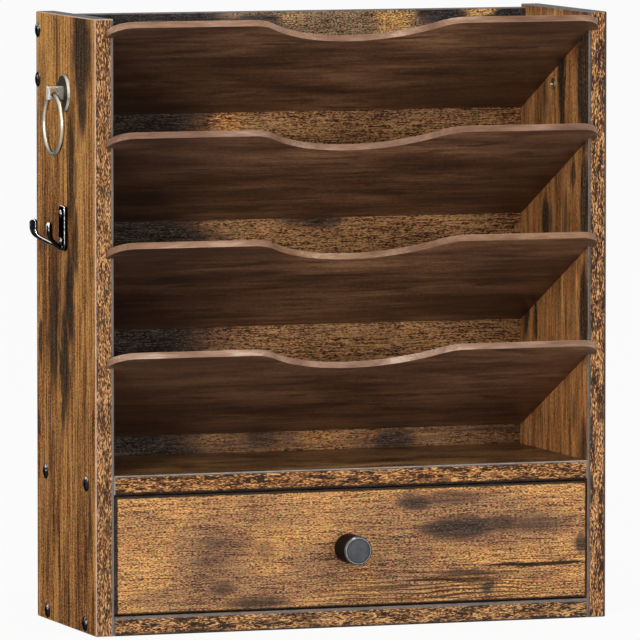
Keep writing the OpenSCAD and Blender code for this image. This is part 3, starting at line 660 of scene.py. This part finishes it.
# The fade along X is a painted shadow of the left panel on the back sheet; the fade along Z makes it darker
# towards the bottom.
back_face = rustic(
    "back_laminate", "X", 15, OCHRE, "XZ", back_spots, gleams=back_gleams,
    fades=[("X", -112, -22, 1.4), ("Z", 98, 160, 0.44)], clouds=0.26, gain=(0.98, 1.06, 1.34),
    mass=(60, 20, 0.8), hair=(22, 0.50, 3.2), dots=(1.7, 0.48, 3.2))
inside_face = rustic("inside_laminate", "X", 18, OCHRE, "XZ", clouds=0.32, gain=(0.9, 0.9, 0.9))

left_band = edge_band(
    "left_edge_band", "Z", 2, (0.73, 0.70, 0.80), ink=0.76,
    rims=[("X", left_high.x, 1.9, GREY, 0.95), ("X", left_low.x, 0.8, GREY, 0.5)])
right_band = edge_band(
    "right_edge_band", "Z", 7, (0.81, 0.76, 0.86), blobs=0.9,
    rims=[("X", right_low.x, 1.8, BROWN_GREY, 0.9), ("X", right_high.x, 1.6, DARK_GREY, 0.9)])
# The shelf band's lower rim is painted shade of the gap above the drawer.
shelf_band = edge_band(
    "shelf_edge_band", "X", 5, (0.79, 0.70, 0.71), blobs=0.7,
    rims=[("Z", shelf_high.z, 1.3, MID_GREY, 0.9), ("Z", shelf_low.z, 1.7, PAINTED_GAP_SHADE, 0.92),
          ("X", shelf_high.x, 1.2, GREY, 0.9)])
base_band = edge_band(
    "base_edge_band", "X", 11, (0.78, 0.77, 0.88), blobs=0.6,
    rims=[("Z", base_high.z, 1.8, GREY, 0.95), ("Z", base_low.z, 1.4, DARK_GREY, 0.8)])
# The drawer front's edges: darker than the other bands, partly as painted shade of the gap around the
# drawer, with painted shade along the lower edge
plain_band = edge_band(
    "plain_edge_band", "X", 13, (0.62, 0.60, 0.62), rims=[("Z", front_low.z, 1.0, DARK_GREY, 0.8)])

# Copies of one arris in four brightnesses: the lightest is painted light on the left panel's outer arris,
# the pale one painted light on the shelf's upper arris, the grey one a middle tone, and the dark one
# painted shade on lower arrises and round the drawer.
arris_painted_lit = arris("arris_painted_lit", (0.380, 0.240, 0.175), (0.680, 0.480, 0.370))
arris_grey = arris("arris_grey", (0.090, 0.075, 0.066), (0.260, 0.228, 0.202))
arris_upper_painted_lit = arris("arris_upper_painted_lit", (0.170, 0.150, 0.135), (0.420, 0.385, 0.350))
arris_painted_shade = arris("arris_painted_shade", (0.010, 0.009, 0.008), (0.052, 0.044, 0.038))
top_grey = arris("top_grey", (0.030, 0.027, 0.023), (0.075, 0.068, 0.058))
core = particle_core("particle_core")
sheet_rear = hardboard("hardboard_rear", 4)

# Inward faces of a side panel that lie nearer than this to its outer face are cuts
CUT_FLOOR = 11.5 * MM


def side_panel_face(side):
    """Chooser of a side panel's material, with side -1 for the left panel and 1 for the right.

    0 outer face, 1 bands, 2 and 3 outer and inner arrises, 4 cuts, 5 upper and lower ends, 6 inner face.
    """
    def choose(normal, centre):
        if abs(normal.x) > SQUARE:
            if normal.x * side > 0:
                return 0
            return 4 if abs(centre.x) > outer_x - CUT_FLOOR else 6
        if abs(normal.z) > SQUARE:
            return 5
        if abs(normal.y) > SQUARE:
            return 1
        if abs(normal.x) > 0.6:
            return 2 if normal.x * side > 0 else 3
        return 4 if abs(normal.z) > 0.8 and abs(normal.y) > 0.2 else 2
    return choose


def level_board_face(normal, centre):
    """A level board's material: 0 faces, 1 edge bands, 2 upper arrises, 3 lower arrises."""
    if abs(normal.z) > SQUARE:
        return 0
    if abs(normal.y) > SQUARE or abs(normal.x) > SQUARE:
        return 1
    return 3 if normal.z < -0.1 else 2


def upright_board_face(normal, centre):
    """The drawer front's or the rail's material: 0 faces, 1 edges, 2 arrises."""
    if abs(normal.y) > SQUARE:
        return 0
    if abs(normal.z) > SQUARE or abs(normal.x) > SQUARE:
        return 1
    return 2


def letter_board_face(normal, centre):
    """A letter board's material: 0 faces, 1 edge band."""
    upright = Vector((0.0, math.sin(LETTER_SLOPE), math.cos(LETTER_SLOPE)))
    return 0 if abs(normal.dot(upright)) > SQUARE else 1


paint(
    "left_side_panel", [left_face, left_band, arris_painted_lit, arris_grey, core, top_grey, right_face],
    side_panel_face(-1))
paint(
    "right_side_panel", [outer_face, right_band, arris_grey, arris_grey, core, top_grey, right_face],
    side_panel_face(1))
paint("drawer_shelf", [shelf_face, shelf_band, arris_upper_painted_lit, arris_painted_shade], level_board_face)
paint("bottom_board", [inside_face, base_band, arris_grey, arris_painted_shade], level_board_face)
paint("drawer_front", [front_face, plain_band, arris_painted_shade], upright_board_face)
paint("top_rail", [rail_face, top_grey, arris_grey], upright_board_face)
paint("back_sheet", [back_face, sheet_rear], lambda normal, centre: 0 if normal.y < -0.5 else 1)
paint("drawer_bottom", [inside_face, sheet_rear], lambda normal, centre: 0 if normal.z > 0.5 else 1)
for name in ("drawer_left_side", "drawer_right_side", "drawer_back", "drawer_dowels"):
    paint(name, [inside_face])

# Each letter board's painted shade in its middle, and its edge band's tint
LETTER_BOARDS = [
    (0.06, (1.0, 1.0, 1.0)),
    (0.04, (0.90, 0.89, 0.93)),
    (0.0, (0.90, 0.86, 0.80)),
    (0.34, (1.10, 1.16, 1.25)),
]
for number, (deep, band_gain) in enumerate(LETTER_BOARDS, 1):
    faces = walnut(f"walnut_{number}", number, deep)
    edges = walnut_edge(f"walnut_edge_{number}", number, band_gain)
    paint(f"letter_board_{number}", [faces, edges], letter_board_face)
    eased(f"letter_board_{number}", 0.55, 3)

# The painted highlight line lies this far inside the knob's outline
KNOB_LINE_INSET = 0.7 * MM
# The eye of a ring pull starts above its base plate, and the knob's rim lies beyond its waist
BASE_PLATE = 2.1 * MM
KNOB_WAIST = 10 * MM

knob_low, knob_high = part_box("drawer_knob")
knob_line = (
    (knob_low.x + knob_high.x) / 2,
    (knob_low.z + knob_high.z) / 2,
    (knob_high.x - knob_low.x) / 2 - KNOB_LINE_INSET,
)
# Its edge colour is a painted dark reflection where the ring and the boss's rim are seen at a slant; the
# rest is tarnished nickel.
aged_rim_shaded = metal("aged_nickel_rim_shaded", (0.620, 0.540, 0.400), (1.000, 0.940, 0.790), 0.30, edge=(0.085, 0.070, 0.042))
patina = metal("dark_patina", (0.048, 0.048, 0.036), (0.105, 0.103, 0.080), 0.36, grazing=0.45)
satin = metal("satin_nickel", (0.560, 0.535, 0.470), (1.000, 0.965, 0.870), 0.36)
# The hook's, screws' and edges' blacks below get painted highlights where they face the lamps; the first is
# the hook's side faces' copy with its reflection dimmed to keep them dark.
black_side_dimmed = metal(
    "black_side_dimmed", (0.014, 0.014, 0.014), (0.034, 0.034, 0.034), 0.20, grazing=0.25, turned=0.93)
enamel = metal("gloss_black", (0.010, 0.010, 0.010), (0.022, 0.022, 0.022), 0.14, grazing=0.5, turned=0.74)
# Painted glint for the hook's rounds
glint = metal("painted_edge_glint", (0.014, 0.014, 0.014), (0.060, 0.060, 0.060), 0.20, turned=0.52)
dark_zinc = metal(
    "dark_zinc", (0.020, 0.020, 0.022), (0.060, 0.060, 0.066), 0.22, grazing=0.30, turned=0.66)
zinc = metal("bright_zinc", (0.330, 0.325, 0.315), (0.620, 0.610, 0.590), 0.30)
brass_zinc = metal("yellow_zinc", (0.700, 0.580, 0.340), (1.000, 0.930, 0.700), 0.34)
charcoal = metal(
    "brushed_charcoal", (0.028, 0.029, 0.032), (0.060, 0.061, 0.065), 0.38, brush=True, ring=knob_line)
knob_side = metal("knob_side", (0.042, 0.039, 0.034), (0.092, 0.084, 0.072), 0.40, grazing=0.35)
# The knob's front chamfer in a lighter copy of its metal: painted highlight
knob_rim_painted_lit = metal("knob_rim_painted_lit", (0.060, 0.060, 0.062), (0.170, 0.168, 0.164), 0.36)


def boss_face(normal, centre):
    """A ring base's material: 0 bright rim, 1 dark plate face, 2 satin eye."""
    if abs(centre.x) - outer_x > BASE_PLATE:
        return 2
    return 1 if abs(normal.x) > SQUARE else 0


def knob_face(normal, centre):
    """The knob's material: 0 side, 1 face, 2 rim."""
    if abs(normal.y) > SQUARE:
        return 1
    return 2 if normal.y < -0.5 and centre.y < front_y - KNOB_WAIST else 0


for side in ("left", "right"):
    paint(f"{side}_ring_boss", [aged_rim_shaded, patina, satin], boss_face)
    paint(f"{side}_ring", [aged_rim_shaded])
    paint(f"{side}_ring_screw", [brass_zinc])
    paint(f"{side}_panel_screws", [dark_zinc])
    paint(f"{side}_hanger_plate", [zinc])
    eased(f"{side}_ring_boss", 0.35, 3)
    eased(f"{side}_hanger_plate", 0.2, 2)
# The hook's side faces get a copy of its black with a dimmed reflection, as painted shade, and its rounds
# the painted edge glint.
paint("double_hook", [black_side_dimmed, enamel, glint], lambda normal, centre: 0 if abs(normal.x) > 0.9 else 1)
eased("double_hook", 0.5, 3, slot=2, flat=True)
paint("hook_screws", [dark_zinc])
for name in ("hanger_screws", "back_tacks", "drawer_tacks", "knob_screw"):
    paint(name, [zinc])
paint("drawer_knob", [knob_side, charcoal, knob_rim_painted_lit], knob_face)


# Stage, light and camera

FLOOR_HALF = 40.0
FLOOR_COLOR = (0.62, 0.61, 0.60, 1.0)
# The share of plain white in what the camera sees of the floor; the rest takes light and shadow
FLOOR_WHITE = 0.93
# Strength of the world's light on the object
WORLD_LEVEL = 0.60
# Name, place, target, width and height in metres, and watts
LAMPS = [
    ("key", (-2.7, -3.5, 1.5), (0, 0, 0.20), (0.6, 2.6), 82),
    ("overhead", (-0.3, -0.9, 3.0), (0, 0, 0.20), (0.5, 0.5), 14),
    ("low fill", (0.9, -3.6, 0.45), (0, 0, 0.22), (1.4, 0.7), 40),
]


def area_light(name, place, target, size, power):
    data = bpy.data.lights.new(name, "AREA")
    data.shape = "RECTANGLE"
    data.size, data.size_y = size
    data.energy = power
    lamp = bpy.data.objects.new(name, data)
    bpy.context.scene.collection.objects.link(lamp)
    lamp.location = place
    lamp.rotation_mode = "QUATERNION"
    lamp.rotation_quaternion = (Vector(target) - Vector(place)).to_track_quat("-Z", "Y")


def white_floor():
    """A pale floor that is nearly white to the camera and keeps the object's shadow."""
    half = FLOOR_HALF
    mesh = bpy.data.meshes.new("floor")
    corners = [(-half, -half, 0), (half, -half, 0), (half, half, 0), (-half, half, 0)]
    mesh.from_pydata(corners, [], [(0, 1, 2, 3)])
    floor = bpy.data.objects.new("floor", mesh)
    bpy.context.scene.collection.objects.link(floor)
    material = bpy.data.materials.new("pale_floor")
    material.use_nodes = True
    tree = material.node_tree
    tree.nodes.clear()
    output = tree.nodes.new("ShaderNodeOutputMaterial")
    diffuse = tree.nodes.new("ShaderNodeBsdfDiffuse")
    diffuse.inputs["Color"].default_value = FLOOR_COLOR
    glow = tree.nodes.new("ShaderNodeEmission")
    glow.inputs["Strength"].default_value = 1.0
    path = tree.nodes.new("ShaderNodeLightPath")
    seen = tree.nodes.new("ShaderNodeMath")
    seen.operation = "MULTIPLY"
    seen.inputs[1].default_value = FLOOR_WHITE
    mixed = tree.nodes.new("ShaderNodeMixShader")
    tree.links.new(path.outputs["Is Camera Ray"], seen.inputs[0])
    tree.links.new(seen.outputs[0], mixed.inputs["Fac"])
    tree.links.new(diffuse.outputs[0], mixed.inputs[1])
    tree.links.new(glow.outputs[0], mixed.inputs[2])
    tree.links.new(mixed.outputs[0], output.inputs["Surface"])
    mesh.materials.append(material)


def studio_world():
    """Even light of one level on the object; white to the camera, to reflections and through glass."""
    world = bpy.data.worlds.new("studio")
    bpy.context.scene.world = world
    world.use_nodes = True
    tree = world.node_tree
    back = tree.nodes["Background"]
    back.inputs["Color"].default_value = (1, 1, 1, 1)
    path = tree.nodes.new("ShaderNodeLightPath")
    seen = path.outputs["Is Camera Ray"]
    for kind in ("Is Glossy Ray", "Is Transmission Ray"):
        either = tree.nodes.new("ShaderNodeMath")
        either.operation = "MAXIMUM"
        tree.links.new(seen, either.inputs[0])
        tree.links.new(path.outputs[kind], either.inputs[1])
        seen = either.outputs[0]
    strength = tree.nodes.new("ShaderNodeMapRange")
    strength.inputs["To Min"].default_value = WORLD_LEVEL
    strength.inputs["To Max"].default_value = 1.0
    tree.links.new(seen, strength.inputs["Value"])
    tree.links.new(strength.outputs[0], back.inputs["Strength"])


def camera():
    """The camera of the photograph, fitted to the carcass corners."""
    target = Vector((0, 0, 0.190))
    azimuth, elevation, distance = math.radians(-19.03), math.radians(4.62), 5.316
    focus_px, centre_x, centre_y, frame_px, sensor = 8491.0, 321.3, 314.5, 640.0, 36.0
    back = Vector((
        math.sin(azimuth) * math.cos(elevation),
        -math.cos(azimuth) * math.cos(elevation),
        math.sin(elevation),
    ))
    data = bpy.data.cameras.new("camera")
    data.sensor_width = sensor
    data.lens = focus_px / frame_px * sensor
    data.shift_x = (frame_px / 2 - centre_x) / frame_px
    data.shift_y = (centre_y - frame_px / 2) / frame_px
    data.clip_start = 0.1
    data.clip_end = 200.0
    eye = bpy.data.objects.new("camera", data)
    bpy.context.scene.collection.objects.link(eye)
    eye.location = target + back * distance
    eye.rotation_mode = "QUATERNION"
    eye.rotation_quaternion = (-back).to_track_quat("-Z", "Y")
    bpy.context.scene.camera = eye


white_floor()
studio_world()
for lamp in LAMPS:
    area_light(*lamp)
camera()
bpy.context.scene.view_settings.view_transform = "Standard"
